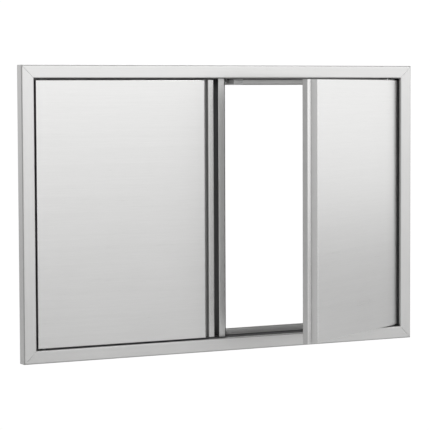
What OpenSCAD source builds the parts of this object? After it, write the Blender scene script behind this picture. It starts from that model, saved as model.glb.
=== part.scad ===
// Double access door for a built-in counter: a mitred frame of folded sheet with two inset doors.
// X runs along the width, Y goes into the wall and Z is up. The wall's face is the plane Y = 0, and
// the origin is the centre of the wall's cut-out. Each door is drawn closed on the +X side; the left
// one is mirrored, and each is then swung open about its own pivot pins.

/* [Overall] */
// Width over the trim
frame_w = 813; // [650:1:1000]
// Height over the trim
frame_h = 533; // [400:1:700]
// How far the right door stands open, in degrees
right_open = 32; // [0:1:100]
// How far the left door stands open, in degrees
left_open = 0; // [0:1:100]

/* [Trim frame] */
// Sheet thickness of the frame members
frame_t = 1.2; // [0.8:0.1:1.6]
// Width of the trim's front face
trim_w = 24; // [20:0.5:36]
// How far the trim stands in front of the wall
trim_d = 23; // [18:0.5:30]
// Width of the hem that bears on the wall
wall_hem = 8; // [6:0.5:12]
// Depth from the front of the trim to the front of the stop flange
jamb_d = 45; // [38:0.5:70]
// Width of the stop flange around the opening
flange_w = 12; // [10:0.5:20]
// Depth of the hem behind the stop flange
flange_hem = 6; // [4:0.5:12]
// Inner radius of the frame's bends
bend_r = 1; // [0.6:0.1:1.5]
// Width of the joint between two mitred members
mitre_gap = 0.4; // [0.2:0.1:0.8]
// Diameter of a wall screw's hole in the side jambs
screw_hole_d = 5; // [4:0.5:6]
// Distance between the two wall screws of a side jamb
screw_pitch = 340; // [200:5:360]

/* [Corner gussets] */
// Length of a gusset's leg
gusset_l = 60; // [40:1:80]
// Width of a gusset's leg
gusset_w = 11; // [8:0.5:12]
// Thickness of a gusset
gusset_t = 1.5; // [1:0.1:2]

/* [Doors] */
// Gap around each door
door_gap = 3; // [2.5:0.1:5]
// Thickness of a door
door_t = 20; // [18:0.5:24]
// Sheet thickness of the door skins and finger pulls
skin_t = 1.2; // [0.8:0.1:1.5]
// Outer radius of the skin's folded edges
skin_r = 2; // [1.6:0.1:3]
// Sheet thickness of the back pans and ribs
back_t = 0.9; // [0.6:0.1:1.2]
// Depth of the back pan's folded edge
back_fold = 8; // [5:0.5:10]
// Clearance between a back pan and the skin's folded edges
back_fit = 0.3; // [0.1:0.1:0.8]

/* [Finger pulls] */
// Distance from the middle of the frame to the edge of a door's pull
pull_x = 22; // [18:0.5:40]
// Width of the pull's lip
lip_w = 12; // [10:0.5:20]
// How far the lip lies behind the door's front
lip_drop = 8; // [5:0.5:9]
// Width of the groove between the lip and the skin
groove_w = 11; // [10:0.5:20]
// Depth of the groove from the door's front
groove_d = 16; // [14:0.5:16.5]
// How far the groove's outer wall leans in towards its floor, in degrees
groove_lean = 25; // [5:1:28]
// Inner radius of the pull's bends
pull_r = 0.8; // [0.5:0.1:1.2]

/* [Ribs] */
// Width of a rib's crown
rib_w = 40; // [20:1:80]
// Width of each of a rib's feet
rib_foot = 14; // [8:0.5:20]
// Distance from each end of a rib to the end of the door
rib_end = 24; // [16:1:60]
// Rivets along each rib
rivet_n = 3; // [2:1:6]
// Diameter of a rivet's shank
rivet_d = 3.2; // [2.4:0.1:4]

/* [Pivots] */
// Distance from a pivot's axis to the door's hinge edge
pivot_in = 12; // [10:0.5:16]
// Distance from a pivot's axis to the door's front
pivot_back = 8; // [7:0.5:8.5]
// Diameter of a pivot pin
pin_d = 5; // [4:0.1:5.5]
// Running clearance of a pin in its bush, all round
pin_clear = 0.05; // [0.02:0.01:0.1]
// Clearance of a pin in its block, all round
seat_clear = 0.02; // [0.01:0.01:0.05]
// Wall of a pivot bush
bush_wall = 1; // [0.8:0.1:1.3]
// Radius of a bush's collar
collar_r = 5.5; // [5:0.1:6]
// Clearance between a bush's collar and the door
collar_clear = 0.4; // [0.3:0.1:0.8]
// Height of a pivot block inside the door
block_h = 14; // [10:0.5:20]
// Width of a pivot block
block_w = 20; // [16:0.5:21]
// Thickness of a pivot plate behind the jamb
plate_t = 5; // [3:0.5:7]
// Length of a pivot plate along the frame
plate_l = 26; // [18:1:40]

/* [Centre post] */
// Width of the centre post
post_w = 13; // [10:0.5:16]
// Depth from the front of the trim to the front of the post
post_front = 20; // [18:0.5:26]
// Wall of the post's tube
post_t = 1.2; // [1:0.1:2]
// Thickness of a side strip on the post
strip_t = 1.5; // [1:0.1:2.5]
// Depth of a side strip
strip_d = 18; // [10:0.5:20]
// Distance from a side strip's end to the jamb
strip_end = 2; // [1:0.5:6]
// Width of a post's foot plate
foot_w = 52; // [40:1:56]
// Thickness of a post's foot plate
foot_t = 1.5; // [1:0.1:3]

/* [Catches and buffers] */
// Distance from the middle of the frame to a magnetic catch
catch_x = 27; // [27:0.5:60]
// Width of a catch
catch_w = 20; // [16:0.5:30]
// Height of a catch's case
catch_h = 10; // [8:0.5:10.5]
// Thickness of a strike plate on a door's back
strike_t = 1; // [0.8:0.1:1.5]
// Clearance between a closed door's fittings and the frame
close_gap = 0.4; // [0.3:0.1:1]
// Distance from the middle of the frame to a buffer
buffer_x = 76; // [70:1:120]
// Radius of a buffer
buffer_r = 4; // [3:0.5:4.5]

/* [Hidden] */
$fn = 48;
eps = 0.01;
half_w = frame_w / 2;
half_h = frame_h / 2;
front_y = -trim_d;
flange_y = front_y + jamb_d;
jamb_x = half_w - trim_w;
jamb_z = half_h - trim_w;
door_x = jamb_x - door_gap;
door_z = jamb_z - door_gap;
back_y = front_y + door_t;
lip_x = pull_x + lip_w;
skin_x = lip_x + groove_w;
pivot_x = door_x - pivot_in;
pivot_y = front_y + pivot_back;
bush_r = pin_d / 2 + pin_clear + bush_wall;
collar_t = door_gap - collar_clear;
pull_leg = 8;
pull_lap = 3;
pull_back = skin_x + skin_t + pull_leg + pull_lap;
lean_run = tan(groove_lean);
lean_wall = skin_t / cos(groove_lean);
pan_x = pull_back + back_fit;
rib_x = (pan_x + door_x) / 2;
rivet_head_r = rivet_d;
rivet_head_t = 1.1;
rivet_crown_r = 0.6 * rivet_head_r;
rivet_root_r = 0.8 * rivet_head_r;
rivet_tip_r = 0.5 * rivet_head_r;
rivet_end = 30;
bend_clear = 0.2;
edge_gap = bend_r + bend_clear;
gusset_clear = 0.3;
hole_clear = 0.2;
through = 1;
block_low = door_z - skin_t - block_h;
pin_short = 0.5;
pin_top = jamb_z + frame_t + plate_t - pin_short;
post_y = front_y + post_front;
foot_y = flange_y - foot_t;
foot_z = jamb_z - flange_w / 2;
foot_rivet_in = 7;
foot_rivet_x = foot_w / 2 - foot_rivet_in;
foot_inset = 1;
strip_inset = 1;
catch_y = back_y + strike_t + close_gap;
catch_top = jamb_z - edge_gap;
catch_z = catch_top - catch_h / 2;
case_wall = 2;
case_screw_x = catch_x + catch_w / 2;
case_screw_r = 1.5;
case_screw_neck_r = 1.2 * case_screw_r;
case_screw_head_r = 1.9 * case_screw_r;
case_screw_l = 6;
magnet_l = 8;
magnet_clear = 0.1;
magnet_set = 0.2;
strike_inset = 1;
buffer_z = door_z - buffer_r - 1;
buffer_tip = 3;
buffer_taper = 1;
stud_r = 1.6;
stud_clear = 0.1;
bend_steps = 6;

steel = [0.80, 0.81, 0.82];
inner_steel = [0.62, 0.63, 0.64];
black = [0.08, 0.08, 0.08];
acetal = [0.16, 0.16, 0.17];
case_grey = [0.55, 0.56, 0.57];

// ---------- folded sheet ----------

function unit(v) = v / norm(v);
function left_of(v) = [-v[1], v[0]];
function turned(v, a) = [v[0] * cos(a) - v[1] * sin(a), v[0] * sin(a) + v[1] * cos(a)];

// Points of one bend, offset to the left of the sheet's middle line by off
function bend(p, i, off, t, r) =
    let (
        d0 = unit(p[i] - p[i - 1]),
        d1 = unit(p[i + 1] - p[i]),
        s = sign(cross(d0, d1)),
        angle = acos(d0 * d1),
        mid_r = r + t / 2,
        start = p[i] - d0 * mid_r * tan(angle / 2),
        centre = start + left_of(d0) * s * mid_r
    )
    [for (k = [0 : bend_steps])
        centre - turned(left_of(d0) * s, s * angle * k / bend_steps) * (mid_r - s * off)];

// One side of a folded sheet
function sheet_side(p, off, t, r) =
    let (
        n = len(p) - 1,
        first = p[0] + left_of(unit(p[1] - p[0])) * off,
        last = p[n] + left_of(unit(p[n] - p[n - 1])) * off
    )
    concat([first], [for (i = [1 : n - 1]) each bend(p, i, off, t, r)], [last]);

function reversed(p) = [for (i = [len(p) - 1 : -1 : 0]) p[i]];

// Section of a folded sheet of thickness t, whose middle follows p with inner bend radius r
module folded(p, t, r) {
    polygon(concat(sheet_side(p, t / 2, t, r), reversed(sheet_side(p, -t / 2, t, r))));
}

// ---------- placing ----------

// Draws its children on the side and end named: side is 1 on the right, end is 1 at the top
module corner(side, end) {
    mirror([side > 0 ? 0 : 1, 0, 0])
        mirror([0, 0, end > 0 ? 0 : 1])
            children();
}

// Swings a closed right door about its pins
module swung(angle) {
    translate([pivot_x, pivot_y, 0])
        rotate([0, 0, angle])
            translate([-pivot_x, -pivot_y, 0])
                children();
}

// Hangs a door's piece, drawn closed on the right, on its own side
module hung(side) {
    if (side > 0)
        swung(right_open) children();
    else
        mirror([1, 0, 0]) swung(left_open) children();
}

// ---------- frame ----------

// Section of a trim member: wall hem, outer edge, face, jamb, stop flange and its hem.
// Its X is the distance in from the frame's outer edge.
module trim_section() {
    h = frame_t / 2;
    edge = trim_w + flange_w - h;
    folded([
        [wall_hem, -h],
        [h, -h],
        [h, front_y + h],
        [trim_w - h, front_y + h],
        [trim_w - h, flange_y + h],
        [edge, flange_y + h],
        [edge, flange_y + flange_hem]
    ], frame_t, bend_r);
}

// Wedge that cuts a member's two ends at 45 degrees: half is half the member's length
module mitre_wedge(half, far) {
    reach = trim_w + flange_w + wall_hem;
    back = mitre_gap / sqrt(2);
    rotate([90, 0, 0])
        linear_extrude(height = 4 * (jamb_d + flange_hem), center = true)
            polygon([
                [-half + back, far],
                [half - back, far],
                [half - back - reach, far - reach],
                [-half + back + reach, far - reach]
            ]);
}

module trim_level(has_catches) {
    difference() {
        intersection() {
            translate([0, 0, half_h])
                rotate([0, 90, 0])
                    linear_extrude(height = frame_w, center = true)
                        trim_section();
            mitre_wedge(half_w, half_h);
        }
        for (x = [-pivot_x, pivot_x])
            translate([x, pivot_y, jamb_z - through])
                cylinder(h = frame_t + 2 * through, r = bush_r + seat_clear);
        if (has_catches)
            for (x = [-case_screw_x, case_screw_x])
                translate([x, flange_y - through, catch_z])
                    rotate([-90, 0, 0])
                        cylinder(h = frame_t + 2 * through, r = case_screw_r + hole_clear);
        foot_rivet_holes();
    }
}

module trim_upright() {
    difference() {
        intersection() {
            translate([half_w, 0, 0])
                mirror([1, 0, 0])
                    linear_extrude(height = frame_h, center = true)
                        trim_section();
            rotate([0, 90, 0])
                mitre_wedge(half_h, half_w);
        }
        for (z = [-screw_pitch / 2, screw_pitch / 2])
            translate([jamb_x - through, flange_y / 2, z])
                rotate([0, 90, 0])
                    cylinder(h = frame_t + 2 * through, d = screw_hole_d);
    }
}

module gusset(side, end) {
    inset = frame_t + bend_r + gusset_clear;
    color(inner_steel)
        corner(side, end)
            translate([half_w - inset, front_y + frame_t, half_h - inset])
                rotate([-90, 0, 0])
                    linear_extrude(height = gusset_t)
                        polygon([
                            [0, 0],
                            [0, gusset_l],
                            [-gusset_w, gusset_l],
                            [-gusset_w, gusset_w],
                            [-gusset_l, gusset_w],
                            [-gusset_l, 0]
                        ]);
}

// ---------- pivots in the frame ----------

module pivot_plate(side, end) {
    front = front_y + frame_t + bend_r + bend_clear;
    color(inner_steel)
        corner(side, end)
            difference() {
                translate([pivot_x - plate_l / 2, front, jamb_z + frame_t])
                    cube([plate_l, 2 * (pivot_y - front), plate_t]);
                translate([pivot_x, pivot_y, jamb_z])
                    cylinder(h = frame_t + plate_t + through, r = bush_r + seat_clear);
            }
}

module pivot_bush(side, end) {
    color(acetal)
        corner(side, end)
            translate([pivot_x, pivot_y, jamb_z])
                difference() {
                    union() {
                        translate([0, 0, -collar_t])
                            cylinder(h = collar_t, r = collar_r);
                        translate([0, 0, -eps])
                            cylinder(h = frame_t + plate_t + eps, r = bush_r);
                    }
                    translate([0, 0, -collar_t - through])
                        cylinder(h = collar_t + frame_t + plate_t + 2 * through,
                                 r = pin_d / 2 + pin_clear);
                }
}

// ---------- centre post ----------

module centre_post() {
    color(steel)
        translate([0, 0, -jamb_z])
            linear_extrude(height = 2 * jamb_z)
                difference() {
                    translate([-post_w / 2, post_y])
                        square([post_w, foot_y - post_y]);
                    translate([-post_w / 2 + post_t, post_y + post_t])
                        square([post_w - 2 * post_t, foot_y - post_y - 2 * post_t]);
                }
}

module post_strip(side) {
    color(black)
        corner(side, 1)
            translate([post_w / 2, post_y + strip_inset, -jamb_z + strip_end])
                cube([strip_t, strip_d, 2 * (jamb_z - strip_end)]);
}

module foot_rivet_holes() {
    for (x = [-foot_rivet_x, foot_rivet_x])
        translate([x, foot_y - through, foot_z])
            rotate([-90, 0, 0])
                cylinder(h = foot_t + frame_t + 2 * through, r = rivet_d / 2 + seat_clear);
}

module post_foot(end) {
    color(steel)
        corner(1, end)
            difference() {
                translate([-foot_w / 2, foot_y, jamb_z - flange_w + foot_inset])
                    cube([foot_w, foot_t, flange_w - foot_inset - edge_gap]);
                foot_rivet_holes();
            }
}

// A closed rivet along +Y: its head lies in front of Y = 0 and its shank passes through grip
module rivet(grip) {
    rotate([-90, 0, 0]) {
        translate([0, 0, -rivet_head_t])
            cylinder(h = rivet_head_t, r1 = rivet_crown_r, r2 = rivet_head_r);
        cylinder(h = grip, r = rivet_d / 2);
        translate([0, 0, grip])
            cylinder(h = rivet_head_t, r1 = rivet_root_r, r2 = rivet_tip_r);
    }
}

module foot_rivets() {
    color(inner_steel)
        for (end = [-1, 1], x = [-foot_rivet_x, foot_rivet_x])
            translate([x, foot_y, end * foot_z])
                rivet(foot_t + frame_t);
}

// ---------- magnetic catches ----------

module catch_case(side) {
    color(case_grey)
        corner(side, 1)
            difference() {
                translate([catch_x, catch_y, catch_top - catch_h])
                    cube([catch_w, flange_y - catch_y, catch_h]);
                translate([catch_x + case_wall, catch_y - through, catch_top - catch_h + case_wall])
                    cube([catch_w - 2 * case_wall, magnet_l + 2 * through, catch_h - 2 * case_wall]);
                translate([case_screw_x, flange_y - case_screw_l - through, catch_z])
                    rotate([-90, 0, 0])
                        cylinder(h = case_screw_l + 2 * through, r = case_screw_r);
            }
}

module catch_magnet(side) {
    fit = case_wall + magnet_clear;
    color(inner_steel)
        corner(side, 1)
            translate([catch_x + fit, catch_y + magnet_set, catch_top - catch_h + fit])
                cube([catch_w - 2 * fit, magnet_l, catch_h - 2 * fit]);
}

module catch_screws() {
    color(inner_steel)
        for (side = [-1, 1])
            translate([side * case_screw_x, flange_y + frame_t, catch_z])
                rotate([90, 0, 0]) {
                    cylinder(h = frame_t + case_screw_l, r = case_screw_r - seat_clear);
                    translate([0, 0, -case_screw_r])
                        cylinder(h = case_screw_r, r1 = case_screw_neck_r, r2 = case_screw_head_r);
                }
}

// ---------- doors, drawn closed on the right ----------

// Rectangle from a to b with its two front corners rounded
module front_rounded(a, b, r) {
    translate([a[0] + r, a[1]])
        square([b[0] - a[0] - 2 * r, b[1] - a[1]]);
    translate([a[0], a[1] + r])
        square([b[0] - a[0], b[1] - a[1] - r]);
    for (x = [a[0] + r, b[0] - r])
        translate([x, a[1] + r])
            circle(r = r);
}

// Block from x0 to x1 and from -z to z whose four front edges are rounded
module pillow(x0, x1, z, y0, y1, r) {
    intersection() {
        translate([0, 0, -z])
            linear_extrude(height = 2 * z)
                front_rounded([x0, y0], [x1, y1], r);
        translate([x1, 0, 0])
            rotate([0, -90, 0])
                linear_extrude(height = x1 - x0)
                    front_rounded([-z, y0], [z, y1], r);
    }
}

// X of a plane that leans as the groove's outer wall does, off away from the wall's face, at depth
function lean_x(off, depth) = skin_x + off - depth * lean_run;

// Everything on the hinge side of that plane
module beyond_lean(off) {
    far = door_t + through;
    translate([0, 0, -door_z - through])
        linear_extrude(height = 2 * (door_z + through))
            polygon([
                [lean_x(off, -through), front_y - through],
                [door_x + through, front_y - through],
                [door_x + through, front_y + far],
                [lean_x(off, far), front_y + far]
            ]);
}

module door_skin(side) {
    low_x = lean_x(0, door_t) - skin_r;
    color(steel)
        hung(side)
            difference() {
                intersection() {
                    pillow(low_x, door_x, door_z, front_y, back_y, skin_r);
                    beyond_lean(0);
                }
                intersection() {
                    pillow(low_x, door_x - skin_t, door_z - skin_t,
                           front_y + skin_t, back_y + through, skin_r - skin_t);
                    beyond_lean(lean_wall);
                }
                translate([low_x, front_y + groove_d - pull_r - seat_clear, -door_z - through])
                    cube([pan_x - low_x, door_t, 2 * (door_z + through)]);
                translate([pivot_x, pivot_y, -door_z - through])
                    cylinder(h = 2 * (door_z + through), r = pin_d / 2 + hole_clear);
            }
}

// Finger pull: a leg inside the leaning wall, the groove's floor, the lip and the back flange
module door_pull(side) {
    h = skin_t / 2;
    // the leg's middle line lies one wall of the skin and half of its own in from the groove's edge
    leg_off = lean_wall + lean_wall / 2 + seat_clear;
    color(steel)
        hung(side)
            difference() {
                translate([0, 0, -door_z])
                    linear_extrude(height = 2 * door_z)
                        folded([
                            [lean_x(leg_off, groove_d - pull_leg), front_y + groove_d - pull_leg],
                            [lean_x(leg_off, groove_d + h), front_y + groove_d + h],
                            [lip_x - h, front_y + groove_d + h],
                            [lip_x - h, front_y + lip_drop + h],
                            [pull_x + h, front_y + lip_drop + h],
                            [pull_x + h, back_y - h],
                            [pull_back, back_y - h]
                        ], skin_t, pull_r);
                for (end = [-1, 1])
                    corner(1, end)
                        translate([lean_x(0, groove_d), front_y, door_z - skin_t])
                            cube([pull_leg + groove_w, groove_d, skin_t + through]);
            }
}

module door_pull_caps(side) {
    fit = skin_t + back_fit;
    color(steel)
        hung(side)
            for (z = [-door_z, door_z - skin_t])
                translate([pull_x + fit, front_y + lip_drop + fit, z])
                    cube([lip_w - 2 * fit, door_t - lip_drop - 2 * fit, skin_t]);
}

module door_back_pan(side) {
    edge = skin_t + back_fit;
    fold = back_y - back_fold;
    color(inner_steel)
        hung(side)
            difference() {
                translate([pan_x, fold, -door_z + edge])
                    cube([door_x - edge - pan_x, back_fold, 2 * (door_z - edge)]);
                translate([pan_x + back_t, fold - through, -door_z + edge + back_t])
                    cube([door_x - edge - pan_x - 2 * back_t, back_fold + through - back_t,
                          2 * (door_z - edge - back_t)]);
                rivet_holes();
                stud_hole();
            }
}

module rivet_holes() {
    for (z = rivet_places())
        translate([rib_x, back_y - 3 * back_t, z])
            rotate([-90, 0, 0])
                cylinder(h = 4 * back_t, r = rivet_d / 2 + seat_clear);
}

// Heights of a rib's rivets
function rivet_places() =
    let (span = 2 * (door_z - rib_end - rivet_end))
    [for (k = [0 : rivet_n - 1]) -span / 2 + span * k / (rivet_n - 1)];

// Upright rib of hat section: its feet are bonded to the skin and its crown is riveted to the pan
module door_rib(side) {
    h = back_t / 2;
    foot = front_y + skin_t + h;
    crown = back_y - back_t - h;
    color(inner_steel)
        hung(side)
            difference() {
                translate([0, 0, -door_z + rib_end])
                    linear_extrude(height = 2 * (door_z - rib_end))
                        folded([
                            [rib_x - rib_w / 2 - rib_foot, foot],
                            [rib_x - rib_w / 2, foot],
                            [rib_x - rib_w / 2, crown],
                            [rib_x + rib_w / 2, crown],
                            [rib_x + rib_w / 2, foot],
                            [rib_x + rib_w / 2 + rib_foot, foot]
                        ], back_t, pull_r);
                rivet_holes();
            }
}

module door_rivets(side) {
    color(inner_steel)
        hung(side)
            for (z = rivet_places())
                translate([rib_x, back_y, z])
                    mirror([0, 1, 0])
                        rivet(2 * back_t);
}

module door_block(side, end) {
    color(inner_steel)
        hung(side)
            corner(1, end)
                difference() {
                    translate([door_x - skin_t - back_fit - block_w, front_y + skin_r, block_low])
                        cube([block_w, door_t - skin_r - back_fold - back_fit, block_h]);
                    translate([pivot_x, pivot_y, block_low - through])
                        cylinder(h = block_h + 2 * through, r = pin_d / 2 + seat_clear);
                }
}

module door_pin(side, end) {
    color(steel)
        hung(side)
            corner(1, end)
                translate([pivot_x, pivot_y, block_low])
                    cylinder(h = pin_top - block_low, r = pin_d / 2);
}

module door_strike(side) {
    color(steel)
        hung(side)
            translate([catch_x + strike_inset, back_y, catch_top - catch_h])
                cube([catch_w - 2 * strike_inset, strike_t,
                      door_z - catch_top + catch_h - strike_inset]);
}

module stud_hole() {
    translate([buffer_x, back_y - 2 * back_t, -buffer_z])
        rotate([-90, 0, 0])
            cylinder(h = 3 * back_t, r = stud_r + stud_clear);
}

// Rubber buffer on the door's back, which meets the stop flange
module door_buffer(side) {
    length = flange_y - close_gap - back_y;
    color(black)
        hung(side)
            translate([buffer_x, back_y, -buffer_z])
                rotate([-90, 0, 0]) {
                    cylinder(h = length - buffer_tip, r = buffer_r);
                    translate([0, 0, length - buffer_tip])
                        cylinder(h = buffer_tip, r1 = buffer_r, r2 = buffer_r - buffer_taper);
                    translate([0, 0, -3 * back_t])
                        cylinder(h = 3 * back_t, r = stud_r);
                }
}

// ---------- the pieces ----------

color(steel) trim_level(true);  // trim_top
color(steel) mirror([0, 0, 1]) trim_level(false);  // trim_bottom
color(steel) mirror([1, 0, 0]) trim_upright();  // trim_left
color(steel) trim_upright();  // trim_right
gusset(-1, 1);  // gusset_top_left
gusset(1, 1);  // gusset_top_right
gusset(-1, -1);  // gusset_bottom_left
gusset(1, -1);  // gusset_bottom_right
pivot_plate(-1, 1);  // pivot_plate_top_left
pivot_plate(1, 1);  // pivot_plate_top_right
pivot_plate(-1, -1);  // pivot_plate_bottom_left
pivot_plate(1, -1);  // pivot_plate_bottom_right
pivot_bush(-1, 1);  // pivot_bush_top_left
pivot_bush(1, 1);  // pivot_bush_top_right
pivot_bush(-1, -1);  // pivot_bush_bottom_left
pivot_bush(1, -1);  // pivot_bush_bottom_right
centre_post();
post_strip(-1);  // post_strip_left
post_strip(1);  // post_strip_right
post_foot(1);  // post_foot_top
post_foot(-1);  // post_foot_bottom
foot_rivets();
catch_case(-1);  // catch_case_left
catch_case(1);  // catch_case_right
catch_magnet(-1);  // catch_magnet_left
catch_magnet(1);  // catch_magnet_right
catch_screws();
door_skin(-1);  // left_skin
door_back_pan(-1);  // left_back_pan
door_pull(-1);  // left_pull
door_pull_caps(-1);  // left_pull_caps
door_rib(-1);  // left_rib
door_rivets(-1);  // left_rivets
door_block(-1, 1);  // left_block_top
door_block(-1, -1);  // left_block_bottom
door_pin(-1, 1);  // left_pin_top
door_pin(-1, -1);  // left_pin_bottom
door_strike(-1);  // left_strike
door_buffer(-1);  // left_buffer
door_skin(1);  // right_skin
door_back_pan(1);  // right_back_pan
door_pull(1);  // right_pull
door_pull_caps(1);  // right_pull_caps
door_rib(1);  // right_rib
door_rivets(1);  // right_rivets
door_block(1, 1);  // right_block_top
door_block(1, -1);  // right_block_bottom
door_pin(1, 1);  // right_pin_top
door_pin(1, -1);  // right_pin_bottom
door_strike(1);  // right_strike
door_buffer(1);  // right_buffer
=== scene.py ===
import bmesh
import bpy
import numpy as np
from mathutils import Matrix, Vector


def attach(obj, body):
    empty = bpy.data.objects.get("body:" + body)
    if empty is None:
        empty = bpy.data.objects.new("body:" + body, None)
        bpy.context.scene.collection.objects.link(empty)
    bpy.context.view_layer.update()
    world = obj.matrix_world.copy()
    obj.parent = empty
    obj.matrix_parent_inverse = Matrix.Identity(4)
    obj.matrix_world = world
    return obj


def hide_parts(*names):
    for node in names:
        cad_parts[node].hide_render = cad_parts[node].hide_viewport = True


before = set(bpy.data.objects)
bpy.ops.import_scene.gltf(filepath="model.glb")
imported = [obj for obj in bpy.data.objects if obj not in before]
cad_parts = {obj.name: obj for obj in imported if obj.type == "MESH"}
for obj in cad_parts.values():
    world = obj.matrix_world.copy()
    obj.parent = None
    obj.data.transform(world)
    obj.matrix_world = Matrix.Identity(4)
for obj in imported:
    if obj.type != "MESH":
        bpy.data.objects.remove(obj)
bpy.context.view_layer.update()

# ---------------------------------------------------------------- trim
# Four members of 1.2 mm stainless sheet, each folded five times: a hem on the wall, the outer edge, the
# face, the jamb, and a stop flange with its own hem. They are brushed along their length and welded at
# 45 degrees. Painted shade, a matt black, lines the jambs behind the doors, where the gaps stand in
# shade, and laps 2 mm down the top flange.

MM = 0.001
HALF_W, HALF_H = 406.5 * MM, 266.5 * MM
SHEET = 1.2 * MM
TRIM_FRONT = -23 * MM
TRIM_WIDE = 24 * MM
FLANGE_FRONT = 22 * MM
FLANGE_WIDE = 12 * MM
FLANGE_BACK = 28 * MM
WALL_HEM = 8 * MM
MITRE_BACK = 0.283 * MM
JAMB_SCREW_Y, JAMB_SCREW_Z, JAMB_SCREW_R = 11 * MM, 170 * MM, 2.5 * MM
# painted shade on the jambs: where it starts behind the face, how far it laps down the top flange, and
# how black it is
PAINTED_SHADE_FRONT = TRIM_FRONT + 3 * MM
PAINTED_SHADE_LAP = 2.2 * MM
PAINTED_SHADE_COVER = 0.97
HAIR = 0.1 * MM
MEMBER_ROWS = 9


def folded(points, thickness, radius, steps=8):
    """Outline of a folded sheet as a closed loop of (u, v) points.

    Every inner corner of the middle line becomes an arc of the inner radius plus half the thickness,
    tangent to both legs; the two faces are that line moved half a thickness to either side. Also
    gives each point's share of bend: a half sine along its arc, and 0 at the two ends."""
    p = np.asarray(points, float)
    d = np.diff(p, axis=0)
    d /= np.linalg.norm(d, axis=1, keepdims=True)
    before, after = d[:-1], d[1:]
    side = np.sign(before[:, 0] * after[:, 1] - before[:, 1] * after[:, 0])
    angle = np.arccos(np.clip((before * after).sum(1), -1, 1))
    middle = radius + thickness / 2
    left = np.stack([-before[:, 1], before[:, 0]], 1)
    centre = p[1:-1] - before * (middle * np.tan(angle / 2))[:, None] + left * (side * middle)[:, None]
    share = np.linspace(0, 1, steps + 1)
    turn = (side * angle)[:, None] * share
    spoke = -left * side[:, None]
    arm = np.stack([
        spoke[:, :1] * np.cos(turn) - spoke[:, 1:] * np.sin(turn),
        spoke[:, :1] * np.sin(turn) + spoke[:, 1:] * np.cos(turn)], -1)
    normal = np.stack([-d[:, 1], d[:, 0]], 1)

    def face(offset):
        arcs = centre[:, None] + arm * (middle - side * offset)[:, None, None]
        first, last = p[:1] + normal[:1] * offset, p[-1:] + normal[-1:] * offset
        return np.concatenate([first, arcs.reshape(-1, 2), last])

    bend = np.concatenate([[0], np.tile(np.sin(np.pi * share), len(side)), [0]])
    outline = np.concatenate([face(thickness / 2), face(-thickness / 2)[::-1]])
    return outline, np.concatenate([bend, bend[::-1]])


def close_set(loop, values, step):
    """Adds points to a closed outline so that none of its sides is longer than the step. Old and new
    points are read off the outline by the distance run along it, and the values with them."""
    shut = np.concatenate([loop, loop[:1]])
    run = np.concatenate([[0], np.cumsum(np.linalg.norm(np.diff(shut, axis=0), axis=1))])
    at = np.union1d(run, np.arange(0, run[-1], step))[:-1]
    at = at[np.concatenate([[True], np.diff(at) > 1e-7])]
    u, v = (np.interp(at, run, shut[:, k]) for k in (0, 1))
    return np.column_stack([u, v]), np.interp(at, run, np.append(values, values[:1]))


def tube_faces(rows, columns):
    """Quads of a closed tube: row by row, each point joined to its neighbour and to the next row's,
    with one flat face over the first row and one over the last."""
    i = np.arange(rows - 1)[:, None] * columns
    j = np.arange(columns)[None, :]
    k = (j + 1) % columns
    quads = np.stack([i + j, i + k, i + columns + k, i + columns + j], -1).reshape(-1, 4)
    ends = [list(range(columns))[::-1], list(range((rows - 1) * columns, rows * columns))]
    return quads.tolist() + ends


def make_piece(name, points, faces, bend=None, recess=None, bevel=0.15 * MM, closed=True):
    """A mesh object from an array of points and a list of faces. A closed shell whose signed volume
    (a sixth of the sum of its corner triple products) is negative is turned the right way out. Sharp
    edges are kept where two faces meet at more than 35 degrees."""
    points = np.asarray(points, float).reshape(-1, 3)
    mesh = bpy.data.meshes.new(name)
    mesh.from_pydata(points.tolist(), [], faces)
    # the bend mark lets the steel paint a highlight or shade line along bends; the recess mark carries
    # painted shade
    for mark, values in (("bend", bend), ("recess", recess)):
        if values is not None:
            painted = mesh.attributes.new(mark, "FLOAT", "POINT")
            painted.data.foreach_set("value", np.asarray(values, np.float32).ravel())
    work = bmesh.new()
    work.from_mesh(mesh)
    bmesh.ops.remove_doubles(work, verts=work.verts, dist=1e-6)
    if closed and work.calc_volume(signed=True) < 0:
        bmesh.ops.reverse_faces(work, faces=work.faces)
    work.to_mesh(mesh)
    work.free()
    mesh.polygons.foreach_set("use_smooth", np.ones(len(mesh.polygons), bool))
    mesh.set_sharp_from_angle(angle=np.radians(35))
    piece = bpy.data.objects.new(name, mesh)
    bpy.context.scene.collection.objects.link(piece)
    if bevel:
        edge = piece.modifiers.new("softened_edges", "BEVEL")
        edge.width = bevel
        edge.segments = 2
        edge.limit_method = "ANGLE"
        edge.angle_limit = np.radians(40)
        edge.use_clamp_overlap = True
    if closed:
        even = piece.modifiers.new("even_shading", "WEIGHTED_NORMAL")
        even.keep_sharp = True
    return piece


def group_socket(tree, name, kind, way="INPUT", value=None):
    """One named input or output of a surface group, with its resting value."""
    socket = tree.interface.new_socket(name=name, in_out=way, socket_type=kind)
    if value is not None:
        socket.default_value = value


def reckon(tree, kind, *terms):
    """One step of arithmetic in a node tree. Each term is a number or the output of another node."""
    step = tree.nodes.new("ShaderNodeMath")
    step.operation = kind
    for socket, value in zip(step.inputs, terms):
        if isinstance(value, (int, float)):
            socket.default_value = value
        else:
            tree.links.new(value, socket)
    return step.outputs[0]


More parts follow.
